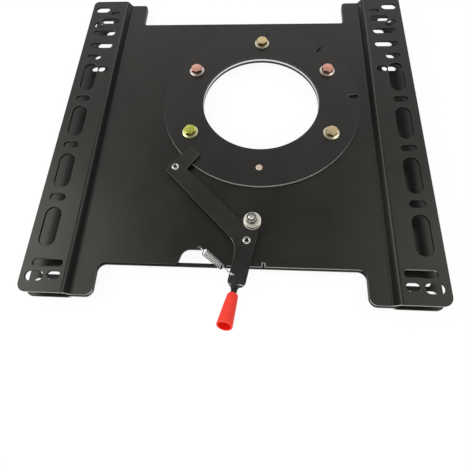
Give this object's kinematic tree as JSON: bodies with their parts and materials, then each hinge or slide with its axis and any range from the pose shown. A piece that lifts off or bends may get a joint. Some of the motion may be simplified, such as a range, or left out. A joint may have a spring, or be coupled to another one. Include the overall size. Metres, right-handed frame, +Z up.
{
  "type": "swivel seat base",
  "caption": "Swivel seat base for a camper van: two slotted black steel plates that turn about a bolted ring, with a sprung lock lever and a red grip.",
  "frame": {"origin": "the middle of the lower plate's four end slots, on the floor under the lower rails", "axes": "+Z up, parallel to the swivel axis, which stands at X 29 mm and Y 40 mm; +X to the right and -Y towards the lever's handle"},
  "size_m": [0.44, 0.4676, 0.0439],
  "materials": {
    "black_coat": "satin",
    "yellow_zinc": "satin",
    "bright_zinc": "satin",
    "nickel": "polished",
    "spring_steel": "bright",
    "bronze": "sintered",
    "nylon": "matte",
    "red_grip": "semi-gloss"
  },
  "bodies": {
    "lower": {"lower_plate": "black_coat", "spacer_ring": "black_coat", "clamp_ring": "black_coat", "lower_glide_ring": "nylon", "upper_glide_ring": "nylon", "sixth_screw": "yellow_zinc", "flange_bolt_1": "yellow_zinc", "flange_bolt_2": "yellow_zinc", "flange_bolt_3": "yellow_zinc", "flange_bolt_4": "yellow_zinc", "flange_bolt_5": "yellow_zinc", "weld_nut_1": "yellow_zinc", "weld_nut_2": "yellow_zinc", "weld_nut_3": "yellow_zinc", "weld_nut_4": "yellow_zinc", "weld_nut_5": "yellow_zinc"},
    "upper": {"upper_plate": "black_coat", "pivot_stud": "bright_zinc", "pivot_bush": "bronze", "pivot_washer_lower": "bright_zinc", "friction_washer": "nylon", "pivot_washer_upper": "bright_zinc", "lock_washer": "bright_zinc", "pivot_nut": "bright_zinc", "return_spring": "spring_steel"},
    "lever": {"lever_plate": "black_coat", "lock_tooth": "black_coat", "head_rivet": "nickel", "head_pad": "nylon", "arm_rivet": "nickel", "arm_pad": "nylon", "handle_rod": "black_coat", "grip": "red_grip"}
  },
  "joints": [
    {"name": "swivel", "type": "hinge", "parent": "lower", "child": "upper", "pos_m": [0.029, 0.04, 0.0111], "axis": [0, 0, 1], "continuous": true},
    {"name": "lever", "type": "hinge", "parent": "upper", "child": "lever", "pos_m": [0.022, -0.129, 0.0176], "axis": [0, 0, 1], "range_deg": [0, 12], "stiffness_Nm_per_rad": 2, "deforming": ["return_spring"]}
  ]
}
